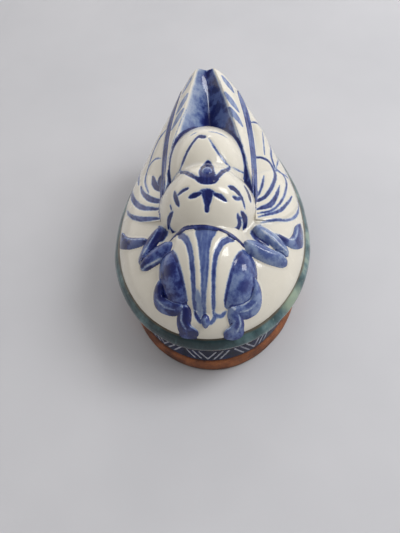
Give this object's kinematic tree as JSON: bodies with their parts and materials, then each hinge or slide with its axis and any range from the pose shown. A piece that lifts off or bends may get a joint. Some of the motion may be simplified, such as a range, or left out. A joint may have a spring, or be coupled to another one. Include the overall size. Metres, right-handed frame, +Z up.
{
  "type": "ceramic ocarina",
  "caption": "Hand-painted ceramic vessel flute with a cicada in relief on its dome, a glazed rim, a painted band and an unglazed foot.",
  "frame": {"origin": "on the table under the middle of the object's box", "axes": "+Z up from the foot, +Y from the cicada's head to its tail and the mouthpiece, +X to the right seen from the head with the tail away"},
  "size_m": [0.074, 0.126, 0.054],
  "materials": {
    "terracotta": "unglazed matt fired clay",
    "green_glaze": "glossy translucent glaze",
    "band_glaze": "glossy painted glaze",
    "white_glaze": "glossy tin-white glaze with painted marks",
    "cobalt_glaze": "glossy cobalt wash",
    "wing_glaze": "glossy white glaze with painted veins"
  },
  "bodies": {
    "root": {"foot_ring": "terracotta", "base_plate": "terracotta", "labium": "terracotta", "mouthpiece": "terracotta", "pattern_band": "band_glaze", "rim_band": "green_glaze", "dome_shell": "white_glaze", "thorax": "white_glaze", "abdomen": "white_glaze", "head": "white_glaze", "scutellum": "cobalt_glaze", "collar": "cobalt_glaze", "rostrum": "cobalt_glaze", "eye_left": "cobalt_glaze", "foreleg_left": "cobalt_glaze", "foreleg_foot_left": "cobalt_glaze", "midleg_left": "cobalt_glaze", "midleg_foot_left": "cobalt_glaze", "wing_left": "wing_glaze", "clavus_left": "wing_glaze", "rib_left": "wing_glaze", "eye_right": "cobalt_glaze", "foreleg_right": "cobalt_glaze", "foreleg_foot_right": "cobalt_glaze", "midleg_right": "cobalt_glaze", "midleg_foot_right": "cobalt_glaze", "wing_right": "wing_glaze", "clavus_right": "wing_glaze", "rib_right": "wing_glaze"}
  },
  "joints": []
}
